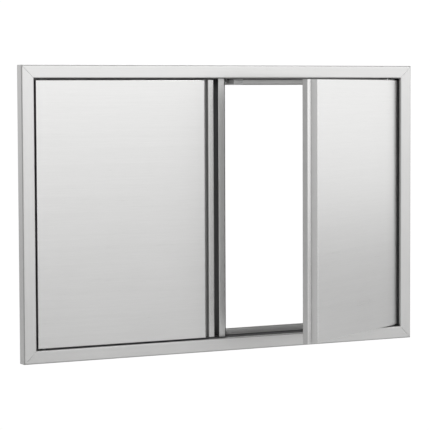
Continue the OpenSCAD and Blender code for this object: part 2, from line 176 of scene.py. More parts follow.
def build_brushed_grain():
    """Fine lines left by an abrasive belt. The vector comes in already turned and stretched so that
    one unit is a millimetre across the lines. Three noises of falling scale add up to the line
    height; a slow noise over the sheet shifts its tone and dulls it in cloudy patches. The bend input
    paints a highlight into the steel and smooths it where it is above 0, and paints a darker shade
    line and roughens it below; the last input is a mask of painted shade that turns the steel to a
    matt black that is no metal."""
    g = bpy.data.node_groups.new("brushed_grain", "ShaderNodeTree")
    for name, kind, value in (
            ("Lines", "NodeSocketVector", None), ("Place", "NodeSocketVector", None),
            ("Tone", "NodeSocketColor", (0.6, 0.6, 0.6, 1)), ("Contrast", "NodeSocketFloat", 0.1),
            ("Dullness", "NodeSocketFloat", 0.3), ("Cloud", "NodeSocketFloat", 0.06),
            ("PaintedBendLightAndPolish", "NodeSocketFloat", 0.0), ("PaintedShade", "NodeSocketFloat", 0.0)):
        group_socket(g, name, kind, value=value)
    for name, kind in (("Color", "NodeSocketColor"), ("Roughness", "NodeSocketFloat"),
                       ("Metal", "NodeSocketFloat"), ("Height", "NodeSocketFloat")):
        group_socket(g, name, kind, way="OUTPUT")
    n, link = g.nodes, g.links.new
    into, out = n.new("NodeGroupInput"), n.new("NodeGroupOutput")

    def noise(vector, scale, detail, rough=0.6):
        t = n.new("ShaderNodeTexNoise")
        t.inputs["Scale"].default_value = scale
        t.inputs["Detail"].default_value = detail
        t.inputs["Roughness"].default_value = rough
        link(vector, t.inputs["Vector"])
        return t.outputs["Fac"]

    def maths(kind, a, b):
        return reckon(g, kind, a, b)

    fine = noise(into.outputs["Lines"], 2.4, 3)
    broad = noise(into.outputs["Lines"], 0.55, 2)
    wide = noise(into.outputs["Lines"], 0.12, 2)
    cloud = maths("SUBTRACT", noise(into.outputs["Place"], 7.0, 3, 0.55), 0.5)
    smear = maths("SUBTRACT", noise(into.outputs["Place"], 38.0, 4, 0.65), 0.5)
    coarse = maths("ADD", maths("MULTIPLY", broad, 0.3), maths("MULTIPLY", wide, 0.2))
    lines = maths("ADD", maths("MULTIPLY", fine, 0.5), coarse)
    offset = maths("SUBTRACT", lines, 0.5)
    shade = maths("ADD", 1.0, maths("MULTIPLY", offset, into.outputs["Contrast"]))
    shade = maths("ADD", shade, maths("MULTIPLY", cloud, maths("MULTIPLY", into.outputs["Cloud"], 0.9)))
    # painted highlight along bends, or painted shade where the bend input is below 0
    shade = maths("ADD", shade, maths("MULTIPLY", into.outputs["PaintedBendLightAndPolish"], 0.10))
    tint = n.new("ShaderNodeVectorMath")
    tint.operation = "SCALE"
    link(into.outputs["Tone"], tint.inputs[0])
    link(shade, tint.inputs["Scale"])
    uneven = maths("ADD", 1.0, maths("MULTIPLY", smear, 0.15))
    # painted shade: the mask, made a little uneven, mixes the steel to matt black
    painted_shade_mix = maths("MINIMUM", maths("MULTIPLY", into.outputs["PaintedShade"], uneven), 1.0)
    over = n.new("ShaderNodeMix")
    over.data_type = "RGBA"
    over.inputs["B"].default_value = (0.028, 0.028, 0.029, 1)
    link(painted_shade_mix, over.inputs["Factor"])
    link(tint.outputs[0], over.inputs["A"])
    link(over.outputs["Result"], out.inputs["Color"])
    link(maths("SUBTRACT", 1.0, painted_shade_mix), out.inputs["Metal"])
    dull = maths("ADD", into.outputs["Dullness"], maths("MULTIPLY", offset, 0.16))
    patches = maths("ADD", cloud, maths("MULTIPLY", smear, 0.15))
    dull = maths("ADD", dull, maths("MULTIPLY", patches, into.outputs["Cloud"]))
    dull = maths("SUBTRACT", dull, maths("MULTIPLY", into.outputs["PaintedBendLightAndPolish"], 0.07))
    dull = maths("ADD", dull, maths("MULTIPLY", painted_shade_mix, 0.6))
    link(maths("MAXIMUM", dull, 0.08), out.inputs["Roughness"])
    link(lines, out.inputs["Height"])
    return g


brushed_grain = build_brushed_grain()


def brushed_steel(name, along, tone=0.62, dullness=0.30, contrast=0.12, cloud=0.06, bump=0.25, fold=1.0,
                  turn=0.0, centre=(0, 0, 0)):
    """Stainless steel brushed along one axis of the piece. The Mapping node moves the pattern to the
    door's pivot, turns it back by the door's angle, then stretches it 60 times along the lines. Fold
    scales the highlight painted along each bend, which also smooths it; below 0 it paints a darker
    shade line there and dulls the bend."""
    m = bpy.data.materials.new(name)
    m.use_nodes = True
    n, link = m.node_tree.nodes, m.node_tree.links.new
    shader = n["Principled BSDF"]
    place = n.new("ShaderNodeTexCoord")
    stretch = n.new("ShaderNodeMapping")
    stretch.vector_type = "TEXTURE"
    stretch.inputs["Location"].default_value = centre
    stretch.inputs["Rotation"].default_value = (0, 0, turn)
    stretch.inputs["Scale"].default_value = [0.06 if axis == along else 0.001 for axis in "XYZ"]
    link(place.outputs["Object"], stretch.inputs["Vector"])
    grain = n.new("ShaderNodeGroup")
    grain.node_tree = brushed_grain
    grain.inputs["Tone"].default_value = (tone, tone * 0.997, tone * 0.99, 1)
    grain.inputs["Contrast"].default_value = contrast
    grain.inputs["Dullness"].default_value = dullness
    grain.inputs["Cloud"].default_value = cloud
    link(stretch.outputs["Vector"], grain.inputs["Lines"])
    link(place.outputs["Object"], grain.inputs["Place"])
    # the share of bend times fold paints a highlight along the bends, or a darker shade line below 0
    bend_share = n.new("ShaderNodeAttribute")
    bend_share.attribute_name = "bend"
    link(reckon(m.node_tree, "MULTIPLY", bend_share.outputs["Fac"], fold), grain.inputs["PaintedBendLightAndPolish"])
    # where the recess mark lies, the steel is painted matt black as shade
    recess = n.new("ShaderNodeAttribute")
    recess.attribute_name = "recess"
    link(recess.outputs["Fac"], grain.inputs["PaintedShade"])
    relief = n.new("ShaderNodeBump")
    relief.inputs["Strength"].default_value = bump
    relief.inputs["Distance"].default_value = 0.00004
    link(grain.outputs["Height"], relief.inputs["Height"])
    link(grain.outputs["Color"], shader.inputs["Base Color"])
    link(grain.outputs["Roughness"], shader.inputs["Roughness"])
    link(grain.outputs["Metal"], shader.inputs["Metallic"])
    link(relief.outputs["Normal"], shader.inputs["Normal"])
    return m


def dress(piece, material, body=None, replaced=()):
    """Gives a piece its finish, the body it moves with and the plain solids
    it stands for."""
    piece.data.materials.clear()
    piece.data.materials.append(material)
    if body:
        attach(piece, body)
    if replaced:
        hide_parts(*replaced)


trim_line = [
    (WALL_HEM, -SHEET / 2), (SHEET / 2, -SHEET / 2), (SHEET / 2, TRIM_FRONT + SHEET / 2),
    (TRIM_WIDE - SHEET / 2, TRIM_FRONT + SHEET / 2), (TRIM_WIDE - SHEET / 2, FLANGE_FRONT + SHEET / 2),
    (TRIM_WIDE + FLANGE_WIDE - SHEET / 2, FLANGE_FRONT + SHEET / 2),
    (TRIM_WIDE + FLANGE_WIDE - SHEET / 2, FLANGE_BACK)]
trim_loop, trim_bend = close_set(*folded(trim_line, SHEET, 1 * MM), 1 * MM)
# fold -3.5 paints a darker shade line along each bend of the trim and makes it duller
trim_steel_level, trim_steel_upright = (
    brushed_steel(name, along, tone=0.60, dullness=0.33, contrast=0.20, fold=-3.5)
    for name, along in (("trim_steel_level", "X"), ("trim_steel_upright", "Z")))


def trim_member(name, side):
    """The trim's outline carried along one side of the frame. A point at distance u in from the outer
    edge runs to u short of each corner, which gives the 45 degree ends. The painted shade lies on the
    part of the outline between its front edge and the flange, on the jamb's inner face."""
    u, y = trim_loop.T
    level = side in ("top", "bottom")
    half, across = (HALF_W, HALF_H) if level else (HALF_H, HALF_W)
    reach = half - MITRE_BACK - u
    out = np.where(side in ("top", "right"), 1, -1) * (across - u)
    rows = np.linspace(-1, 1, MEMBER_ROWS)[:, None] * reach
    # painted shade over the jamb's inner face in the gap behind the doors; on the top member it laps
    # down the flange
    lap = PAINTED_SHADE_LAP if side == "top" else 2 * HAIR
    within = (y > PAINTED_SHADE_FRONT) * (y < FLANGE_FRONT + HAIR)
    jamb_painted_shade = PAINTED_SHADE_COVER * within * (u > TRIM_WIDE - HAIR) * (u < TRIM_WIDE + lap)
    flat = np.broadcast_to(out, rows.shape), np.broadcast_to(y, rows.shape)
    points = np.stack([rows, flat[1], flat[0]] if level else [flat[0], flat[1], rows], -1)
    return make_piece(name, points, tube_faces(MEMBER_ROWS, len(u)),
                      np.tile(trim_bend, MEMBER_ROWS), np.tile(jamb_painted_shade, MEMBER_ROWS))


def drilled(piece, centre, radius, length):
    """Cuts a round hole along X right through the piece, so that its wall and rim are real. The drill
    is a rod with its two rims at (r cos a, r sin a) in Y and Z."""
    a = np.linspace(0, 2 * np.pi, 48, endpoint=False)
    ring = np.zeros((2, 48, 3))
    ring[..., 0] = [[-length / 2], [length / 2]]
    ring[..., 1] = radius * np.cos(a)
    ring[..., 2] = radius * np.sin(a)
    drill = make_piece("drill", ring + np.asarray(centre), tube_faces(2, 48), bevel=0)
    cut = piece.modifiers.new("hole", "BOOLEAN")
    cut.object = drill
    cut.solver = "EXACT"
    kept = [m for m in piece.modifiers if m != cut]
    for m in kept:
        m.show_viewport = False
    seen = piece.evaluated_get(bpy.context.evaluated_depsgraph_get())
    mesh = bpy.data.meshes.new_from_object(seen)
    mesh.name = piece.name
    piece.modifiers.remove(cut)
    piece.data = mesh
    for m in kept:
        m.show_viewport = True
    bpy.data.objects.remove(drill)
    mesh.set_sharp_from_angle(angle=np.radians(35))


for side in ("top", "bottom", "left", "right"):
    member = trim_member("trim_face_" + side, side)
    if side in ("left", "right"):
        x = (HALF_W - TRIM_WIDE + SHEET / 2) * (1 if side == "right" else -1)
        for z in (-JAMB_SCREW_Z, JAMB_SCREW_Z):
            drilled(member, (x, JAMB_SCREW_Y, z), JAMB_SCREW_R, 4 * MM)
    dress(member, trim_steel_level if side in ("top", "bottom") else trim_steel_upright,
          "frame", ["trim_" + side])

# ---------------------------------------------------------------- corner gussets and pivot plates
# Behind each mitre an L of 1.5 mm steel is spot-welded to the back of the face, and a 5 mm plate is
# welded behind each jamb to hold a pivot's bush. Nobody sees them once the frame is in the wall, so
# they keep the dull skin of the rolling mill.


def build_mill_skin():
    """Dull skin of rolled sheet: a fine speckle and slow clouds that move tone and roughness."""
    g = bpy.data.node_groups.new("mill_skin", "ShaderNodeTree")
    for name, kind, value in (
            ("Place", "NodeSocketVector", None), ("Tone", "NodeSocketColor", (0.5, 0.5, 0.5, 1)),
            ("Dullness", "NodeSocketFloat", 0.4)):
        group_socket(g, name, kind, value=value)
    for name, kind in (("Color", "NodeSocketColor"), ("Roughness", "NodeSocketFloat"),
                       ("Height", "NodeSocketFloat")):
        group_socket(g, name, kind, way="OUTPUT")
    n, link = g.nodes, g.links.new
    into, out = n.new("NodeGroupInput"), n.new("NodeGroupOutput")
    speckle, cloud = n.new("ShaderNodeTexNoise"), n.new("ShaderNodeTexNoise")
    speckle.inputs["Scale"].default_value = 900
    speckle.inputs["Detail"].default_value = 3
    cloud.inputs["Scale"].default_value = 14
    cloud.inputs["Detail"].default_value = 4
    for t in (speckle, cloud):
        link(into.outputs["Place"], t.inputs["Vector"])
    shade = n.new("ShaderNodeMapRange")
    shade.inputs["From Min"].default_value = 0.3
    shade.inputs["From Max"].default_value = 0.7
    shade.inputs["To Min"].default_value = 0.9
    shade.inputs["To Max"].default_value = 1.08
    link(cloud.outputs["Fac"], shade.inputs["Value"])
    tint = n.new("ShaderNodeVectorMath")
    tint.operation = "SCALE"
    link(into.outputs["Tone"], tint.inputs[0])
    link(shade.outputs[0], tint.inputs["Scale"])
    link(tint.outputs[0], out.inputs["Color"])
    rough = reckon(g, "MULTIPLY_ADD", speckle.outputs["Fac"], 0.14, into.outputs["Dullness"])
    link(rough, out.inputs["Roughness"])
    link(speckle.outputs["Fac"], out.inputs["Height"])
    return g


mill_skin = build_mill_skin()


def skinned(name, group, tone, dullness, metallic, bump=0.2, distance=0.00005, **sockets):
    """A material of one surface group on the piece's own coordinates, with its relief as a bump."""
    m = bpy.data.materials.new(name)
    m.use_nodes = True
    n, link = m.node_tree.nodes, m.node_tree.links.new
    shader = n["Principled BSDF"]
    shader.inputs["Metallic"].default_value = metallic
    for socket, value in sockets.items():
        shader.inputs[socket.replace("_", " ")].default_value = value
    place = n.new("ShaderNodeTexCoord")
    skin = n.new("ShaderNodeGroup")
    skin.node_tree = group
    skin.inputs["Tone"].default_value = (*tone, 1)
    skin.inputs["Dullness"].default_value = dullness
    relief = n.new("ShaderNodeBump")
    relief.inputs["Strength"].default_value = bump
    relief.inputs["Distance"].default_value = distance
    link(place.outputs["Object"], skin.inputs["Place"])
    link(skin.outputs["Height"], relief.inputs["Height"])
    link(skin.outputs["Color"], shader.inputs["Base Color"])
    link(skin.outputs["Roughness"], shader.inputs["Roughness"])
    link(relief.outputs["Normal"], shader.inputs["Normal"])
    return m


mill_steel = skinned("mill_steel", mill_skin, (0.50, 0.50, 0.495), 0.34, 1.0)
for end in ("top", "bottom"):
    for side in ("left", "right"):
        for kind in ("gusset", "pivot_plate"):
            dress(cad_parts[f"{kind}_{end}_{side}"], mill_steel)

# ---------------------------------------------------------------- pivot bushes
# A black acetal bush is pressed through each jamb and its plate. Its collar keeps the door off the
# jamb, and its bore carries a 5 mm pin.

PIVOT_X, PIVOT_Y = 367.5 * MM, -15 * MM
JAMB_Z = HALF_H - TRIM_WIDE


def build_moulded_skin():
    """Moulded plastic or rubber: a fine spark-eroded texture, slow unevenness of tone, and dust that
    gathers as pale specks."""
    g = bpy.data.node_groups.new("moulded_skin", "ShaderNodeTree")
    for name, kind, value in (
            ("Place", "NodeSocketVector", None), ("Tone", "NodeSocketColor", (0.5, 0.5, 0.5, 1)),
            ("Dullness", "NodeSocketFloat", 0.5), ("Dust", "NodeSocketFloat", 0.1)):
        group_socket(g, name, kind, value=value)
    for name, kind in (("Color", "NodeSocketColor"), ("Roughness", "NodeSocketFloat"),
                       ("Height", "NodeSocketFloat")):
        group_socket(g, name, kind, way="OUTPUT")
    n, link = g.nodes, g.links.new
    into, out = n.new("NodeGroupInput"), n.new("NodeGroupOutput")
    texture, cloud, dust = (n.new("ShaderNodeTexNoise") for _ in range(3))
    for t, scale, detail in ((texture, 1400, 2), (cloud, 30, 3), (dust, 420, 5)):
        t.inputs["Scale"].default_value = scale
        t.inputs["Detail"].default_value = detail
        link(into.outputs["Place"], t.inputs["Vector"])
    specks = n.new("ShaderNodeMapRange")
    specks.inputs["From Min"].default_value = 0.58
    specks.inputs["From Max"].default_value = 0.78
    link(dust.outputs["Fac"], specks.inputs["Value"])
    amount = reckon(g, "MULTIPLY", specks.outputs[0], into.outputs["Dust"])
    shade = n.new("ShaderNodeMapRange")
    shade.inputs["To Min"].default_value = 0.85
    shade.inputs["To Max"].default_value = 1.12
    link(cloud.outputs["Fac"], shade.inputs["Value"])
    tint = n.new("ShaderNodeVectorMath")
    tint.operation = "SCALE"
    link(into.outputs["Tone"], tint.inputs[0])
    link(shade.outputs[0], tint.inputs["Scale"])
    dusty = n.new("ShaderNodeMix")
    dusty.data_type = "RGBA"
    dusty.inputs["B"].default_value = (0.5, 0.48, 0.45, 1)
    link(amount, dusty.inputs["Factor"])
    link(tint.outputs[0], dusty.inputs["A"])
    link(dusty.outputs["Result"], out.inputs["Color"])
    rough = reckon(g, "MULTIPLY_ADD", texture.outputs["Fac"], 0.2, into.outputs["Dullness"])
    link(rough, out.inputs["Roughness"])
    link(texture.outputs["Fac"], out.inputs["Height"])
    return g


moulded_skin = build_moulded_skin()
black_acetal = skinned("black_acetal", moulded_skin, (0.03, 0.03, 0.032), 0.38, 0.0)


def turned(profile, steps=48):
    """A profile of (radius, height) points spun round Z: each point goes to (r cos a, r sin a, h) for
    a from 0 to a full turn. Points of radius 0 close the ends."""
    r, h = np.asarray(profile, float).T
    a = np.linspace(0, 2 * np.pi, steps, endpoint=False)
    height = np.broadcast_to(h[:, None], (len(r), steps))
    return np.stack([r[:, None] * np.cos(a), r[:, None] * np.sin(a), height], -1)


def grid_faces(rows, columns):
    """Quads of a surface that closes round its columns, and not over its rows."""
    return tube_faces(rows, columns)[:-2]


def several(arrays, faces):
    """Joins copies of one grid, each moved to its own place, into one list of points and faces."""
    size = arrays[0].reshape(-1, 3).shape[0]
    points = np.concatenate([a.reshape(-1, 3) for a in arrays])
    return points, [[i + k * size for i in f] for k in range(len(arrays)) for f in faces]


def rounded(corners, radius, steps=5):
    """A convex closed outline with each corner replaced by an arc of the given radius, tangent to both
    of its sides. Radius is one number or one for each corner."""
    p = np.asarray(corners, float)
    r = np.broadcast_to(np.asarray(radius, float), (len(p),))
    before, after = p - np.roll(p, 1, 0), np.roll(p, -1, 0) - p
    before /= np.linalg.norm(before, axis=1, keepdims=True)
    after /= np.linalg.norm(after, axis=1, keepdims=True)
    side = np.sign(before[:, 0] * after[:, 1] - before[:, 1] * after[:, 0])
    angle = np.arccos(np.clip((before * after).sum(1), -1, 1))
    left = np.stack([-before[:, 1], before[:, 0]], 1) * side[:, None]
    centre = p - before * (r * np.tan(angle / 2))[:, None] + left * r[:, None]
    turn = (side * angle)[:, None] * np.linspace(0, 1, steps + 1)
    c, s = np.cos(turn), np.sin(turn)
    spoke = -left * r[:, None]
    arc = np.stack([spoke[:, :1] * c - spoke[:, 1:] * s, spoke[:, :1] * s + spoke[:, 1:] * c], -1)
    return (centre[:, None] + arc).reshape(-1, 2)


BORE_R, BUSH_R, COLLAR_R = 2.55 * MM, 3.55 * MM, 5.5 * MM
COLLAR, BUSH_LONG = 2.6 * MM, 6.2 * MM
bush_profile = rounded([
    (BORE_R, -COLLAR), (COLLAR_R, -COLLAR), (COLLAR_R, 0), (BUSH_R, 0.001 * MM), (BUSH_R, BUSH_LONG),
    (BORE_R, BUSH_LONG)], [0.3 * MM, 0.4 * MM, 0.15 * MM, 0.02 * MM, 0.3 * MM, 0.3 * MM])
for end, up in (("top", 1), ("bottom", -1)):
    for side, x in (("left", -PIVOT_X), ("right", PIVOT_X)):
        ring = turned(np.concatenate([bush_profile, bush_profile[:1]])) * (1, 1, up)
        ring += (x, PIVOT_Y, up * JAMB_Z)
        bush = make_piece(f"bush_{end}_{side}", ring, grid_faces(len(bush_profile) + 1, 48), bevel=0)
        dress(bush, black_acetal, "frame", [f"pivot_bush_{end}_{side}"])

# ---------------------------------------------------------------- centre post
# A folded tube stands between the two doors, a little behind their lips. It is brushed like the trim,
# and its foot plates are pop-riveted to the stop flange at the top and at the bottom.

POST_HALF, POST_FRONT, POST_BACK = 6.5 * MM, -3 * MM, 20.5 * MM
post_outer = rounded([
    (-POST_HALF, POST_FRONT), (POST_HALF, POST_FRONT),
    (POST_HALF, POST_BACK), (-POST_HALF, POST_BACK)], 1.2 * MM, 8)
post_inner = rounded([
    (-POST_HALF + SHEET, POST_FRONT + SHEET), (POST_HALF - SHEET, POST_FRONT + SHEET),
    (POST_HALF - SHEET, POST_BACK - SHEET), (-POST_HALF + SHEET, POST_BACK - SHEET)], 0.2 * MM, 8)
post_rows = [
    (post_outer, -JAMB_Z), (post_outer, JAMB_Z), (post_inner, JAMB_Z), (post_inner, -JAMB_Z),
    (post_outer, -JAMB_Z)]
# the post's corners carry the bend mark, which the steel paints as a highlight
post = make_piece(
    "post", np.stack([np.column_stack([loop, np.full(len(loop), z)]) for loop, z in post_rows]),
    grid_faces(len(post_rows), len(post_outer)),
    np.concatenate([np.tile(np.sin(np.pi * np.linspace(0, 1, 9)), 8), np.zeros(3 * len(post_outer))]))
post_steel = brushed_steel("post_steel", "Z", tone=0.60, dullness=0.30)
dress(post, post_steel, "frame", ["centre_post"])

# ---------------------------------------------------------------- post strips
# A black rubber strip is glued down each side of the post, across the finger gap from the pull. Its
# face is ribbed along its length.

STRIP_FRONT, STRIP_BACK, STRIP_THICK, STRIP_TOP = -2 * MM, 16 * MM, 1.5 * MM, 240.5 * MM
STRIP_RIBS, RIB_DEEP = 9, 0.35 * MM
along = np.linspace(0, 1, 8 * STRIP_RIBS + 1)
rib = 0.5 - 0.5 * np.cos(2 * np.pi * STRIP_RIBS * along)
dip = RIB_DEEP * (1 - rib) * (np.sin(np.pi * along) > 0.02)
strip_face = np.column_stack([
    POST_HALF + STRIP_THICK - dip, STRIP_FRONT + (STRIP_BACK - STRIP_FRONT) * along])
strip_loop = np.concatenate([strip_face, [[POST_HALF, STRIP_BACK], [POST_HALF, STRIP_FRONT]]])
black_rubber = skinned("black_rubber", moulded_skin, (0.022, 0.022, 0.023), 0.52, 0.0, bump=0.3)
for side, sign in (("left", -1), ("right", 1)):
    rows = np.stack([np.column_stack([strip_loop * (sign, 1), np.full(len(strip_loop), z)])
                     for z in np.linspace(-STRIP_TOP, STRIP_TOP, 5)])
    strip = make_piece("strip_" + side, rows, tube_faces(5, len(strip_loop)), bevel=0.1 * MM)
    dress(strip, black_rubber, "frame", ["post_strip_" + side])

# ---------------------------------------------------------------- post feet and their rivets
# Each foot is a plate welded across the end of the post and brushed along the frame. Two closed rivets
# with low domed heads hold it to the stop flange.

FOOT_HALF, FOOT_LOW, FOOT_HIGH = 26 * MM, 231.5 * MM, 241.3 * MM
FOOT_FRONT, FOOT_BACK = 20.5 * MM, 22 * MM
RIVET_X, RIVET_Z, RIVET_R = 19 * MM, 236.5 * MM, 1.6 * MM
HEAD_R, TAIL_R = 3.2 * MM, 2.5 * MM


def slab(x0, x1, z0, z1, y0, y1, radius):
    """A plate in the XZ plane with round corners and a softened front edge: its outline at the back,
    again just behind the front, and drawn in by a third of its corner radius at the front."""
    soft = radius / 3
    outer = rounded([(x0, z0), (x1, z0), (x1, z1), (x0, z1)], radius)
    inner = rounded([
        (x0 + soft, z0 + soft), (x1 - soft, z0 + soft),
        (x1 - soft, z1 - soft), (x0 + soft, z1 - soft)], radius - soft)
    between = (outer + inner) / 2 * 0.6 + outer * 0.4
    loops = [(outer, y1), (outer, y0 + soft), (between, y0 + soft * 0.3), (inner, y0)]
    rows = np.stack([np.column_stack([o[:, 0], np.full(len(o), y), o[:, 1]]) for o, y in loops])
    return rows, tube_faces(len(rows), len(outer))


foot_steel = brushed_steel("foot_steel", "X", tone=0.55, dullness=0.34)
for end, up in (("top", 1), ("bottom", -1)):
    rows, faces = slab(-FOOT_HALF, FOOT_HALF, FOOT_LOW, FOOT_HIGH, FOOT_FRONT, FOOT_BACK, 1.5 * MM)
    foot = make_piece("foot_" + end, rows * (1, 1, up), faces, bevel=0)
    dress(foot, foot_steel, "frame", ["post_foot_" + end])


def rivet_profile(grip):
    """Radius and height of a closed rivet: a domed head below 0, dented at its middle, a shank, and a
    pressed tail. Head and tail are quarter ellipses."""
    a = np.linspace(0, np.pi / 2, 9)
    head = np.column_stack([HEAD_R * np.sin(a), -1.1 * MM * np.cos(a) * 0.82 - 0.2 * MM])
    dent = np.array([[0, -0.75 * MM], [0.75 * MM, -0.8 * MM], [0.95 * MM, -1.06 * MM]])
    shank = [[HEAD_R, 0], [RIVET_R, 0], [RIVET_R, grip]]
    tail = np.column_stack([TAIL_R * np.sin(a[::-1]), grip + 0.1 * MM + 1.0 * MM * np.cos(a[::-1])])
    return np.concatenate([dent, head[head[:, 0] > 1.0 * MM], shank, tail])


def stood(grid, x, y, z, facing=1):
    """Lays a turned piece's axis along Y, its first point to the front, and moves it into place."""
    flat = np.stack([grid[..., 0], facing * grid[..., 2], -grid[..., 1]], -1)
    return flat + (x, y, z)


foot_rivet = turned(rivet_profile(2.7 * MM), 32)
places = [stood(foot_rivet, x, FOOT_FRONT, z) for x in (-RIVET_X, RIVET_X) for z in (-RIVET_Z, RIVET_Z)]
points, faces = several(places, grid_faces(*foot_rivet.shape[:2]))
rivet_steel = skinned("rivet_steel", mill_skin, (0.58, 0.58, 0.575), 0.22, 1.0)
rivets = make_piece("rivets_of_feet", points, faces, bevel=0)
dress(rivets, rivet_steel, "frame", ["foot_rivets"])

# ---------------------------------------------------------------- magnetic catches
# A grey moulded case is screwed through the top flange behind each pull. The magnet in its front has
# zinc-plated pole faces, which hold the door's strike plate.

CATCH_X, CATCH_W, CATCH_H, CATCH_TOP = 27 * MM, 20 * MM, 10 * MM, 241.3 * MM
CATCH_FRONT, CATCH_BACK = -1.6 * MM, 22 * MM
CASE_WALL = 2 * MM
MAGNET_DEEP = 8 * MM
grey_moulding = skinned("grey_moulding", moulded_skin, (0.66, 0.66, 0.66), 0.42, 0.0)
pole_steel = skinned("pole_steel", mill_skin, (0.46, 0.46, 0.46), 0.30, 0.9, bump=0.3)


def catch_outline(inset, radius):
    """The case's outline in X and Z, drawn in all round by the inset."""
    x0, x1 = CATCH_X + inset, CATCH_X + CATCH_W - inset
    z0, z1 = CATCH_TOP - CATCH_H + inset, CATCH_TOP - inset
    return rounded([(x0, z0), (x1, z0), (x1, z1), (x0, z1)], radius)


case_rows = [
    (catch_outline(0.3 * MM, 0.7 * MM), CATCH_BACK),
    (catch_outline(0, 1 * MM), CATCH_BACK - 0.3 * MM),
    (catch_outline(0, 1 * MM), CATCH_FRONT + 0.6 * MM),
    (catch_outline(0.18 * MM, 0.82 * MM), CATCH_FRONT + 0.18 * MM),
    (catch_outline(0.6 * MM, 0.6 * MM), CATCH_FRONT),
    (catch_outline(CASE_WALL - 0.2 * MM, 0.5 * MM), CATCH_FRONT),
    (catch_outline(CASE_WALL, 0.4 * MM), CATCH_FRONT + 0.2 * MM),
    (catch_outline(CASE_WALL, 0.4 * MM), CATCH_FRONT + MAGNET_DEEP + 1 * MM)]
magnet_rows = [
    (catch_outline(CASE_WALL + 0.1 * MM, 0.4 * MM), CATCH_FRONT + MAGNET_DEEP + 0.2 * MM),
    (catch_outline(CASE_WALL + 0.1 * MM, 0.4 * MM), CATCH_FRONT + 0.5 * MM),
    (catch_outline(CASE_WALL + 0.4 * MM, 0.3 * MM), CATCH_FRONT + 0.2 * MM)]
for side, sign in (("left", -1), ("right", 1)):
    for name, rows, finish, slot, body_of in (
            ("catch_" + side, case_rows, grey_moulding, "catch_plastic", "catch_case_" + side),
            ("magnet_" + side, magnet_rows, pole_steel, "pole_steel", "catch_magnet_" + side)):
        grid = np.stack([
            np.column_stack([sign * o[:, 0], np.full(len(o), y), o[:, 1]]) for o, y in rows])
        piece = make_piece(name, grid, tube_faces(len(rows), grid.shape[1]), bevel=0)
        dress(piece, finish, "frame", [body_of])


def cross_screw(head_r, head_h, shank_r, length, steps=48):
    """A pan-head screw with a cross recess. The head's height over radius r and angle a is a dome
    less a cross: the recess is deepest where r cos a or r sin a is 0, has gone half a millimetre away
    from there, and ends at 62% of the head's radius."""
    r = np.concatenate([np.linspace(0, 1, 13) * head_r, [head_r]])
    h = np.concatenate([head_h * np.sqrt(1 - (np.linspace(0, 1, 13) * 0.86) ** 2), [0]])
    grid = turned(np.column_stack([r, -h]), steps)
    near = np.minimum(abs(grid[..., 0]), abs(grid[..., 1]))
    reach = np.hypot(grid[..., 0], grid[..., 1]) / head_r
    cut = np.clip(1 - near / (0.5 * MM), 0, 1) * np.clip((0.62 - reach) / 0.15, 0, 1)
    grid[:13, :, 2] += (cut * 0.75 * head_h)[:13]
    shank = [(shank_r, 0), (shank_r, length - shank_r), (0.2 * shank_r, length), (0, length)]
    return np.concatenate([grid, turned(shank, steps)])


SCREW_X, SCREW_Y, SCREW_Z = 37 * MM, 23.2 * MM, 236.3 * MM
catch_screw = cross_screw(2.85 * MM, 1.5 * MM, 1.48 * MM, 7.2 * MM)
places = [stood(catch_screw, sign * SCREW_X, SCREW_Y, SCREW_Z, facing=-1) for sign in (-1, 1)]
points, faces = several(places, grid_faces(*catch_screw.shape[:2]))
screws = make_piece("screws_of_catches", points, faces, bevel=0)
dress(screws, rivet_steel, "frame", ["catch_screws"])

# ---------------------------------------------------------------- door skins
# Each door's front is one tray of 1.2 mm stainless sheet: a flat panel brushed along the width whose
# edges are folded back 20 mm. On the pull's side the fold stops short, where the pull is let in.

DOOR_X, DOOR_Z = 379.5 * MM, 239.5 * MM
DOOR_FRONT, DOOR_BACK = -23 * MM, -3 * MM
SKIN_X, PAN_X = 45 * MM, 57.5 * MM
SKIN_BEND = 1.3 * MM
SHORT_FOLD = DOOR_FRONT + 15.18 * MM
GROOVE_LEAN = np.tan(np.radians(25))
RIGHT_OPEN = np.radians(32)


def hung(points, side):
    """A door's piece is worked out shut on the right. The right door is turned about its pins by the
    angle at which it stands open; the left one is mirrored and stays shut."""
    p = np.asarray(points, float).reshape(-1, 3)
    if side == "left":
        return p * (-1, 1, 1)
    x, y = p[:, 0] - PIVOT_X, p[:, 1] - PIVOT_Y
    c, s = np.cos(RIGHT_OPEN), np.sin(RIGHT_OPEN)
    return np.column_stack([PIVOT_X + x * c - y * s, PIVOT_Y + x * s + y * c, p[:, 2]])


def door_steel(name, side, along="X", **finish):
    """Brushed steel whose lines turn with the door."""
    turn = RIGHT_OPEN if side == "right" else 0
    centre = (PIVOT_X, PIVOT_Y, 0) if side == "right" else (0, 0, 0)
    return brushed_steel(name, along, turn=turn, centre=centre, **finish)


def tray(stations, low, bends, steps=8):
    """A folded tray. Stations are (x, z, sx, sz, short, full): a corner of the outline, the way in from
    it, and the depths of its fold's last two rows. At each, the profile comes back from the panel
    round an arc of the bend radius: inset r(1 - sin a), depth r(1 - cos a), then straight back."""
    a = np.linspace(0, np.pi / 2, steps + 1)
    inset = np.concatenate([bends * (1 - np.sin(a)), [0, 0]])
    depth = np.concatenate([bends * (1 - np.cos(a)), [np.nan, np.nan]])
    x, z, sx, sz, short, full = np.asarray(stations, float).T
    y = np.broadcast_to((low + depth)[:, None], (len(inset), len(x)))
    grid = np.stack([x + inset[:, None] * sx, y, z + inset[:, None] * sz], -1)
    grid[-2, :, 1] = short
    grid[-1, :, 1] = full
    return grid, np.concatenate([np.sin(2 * a), [0, 0]])


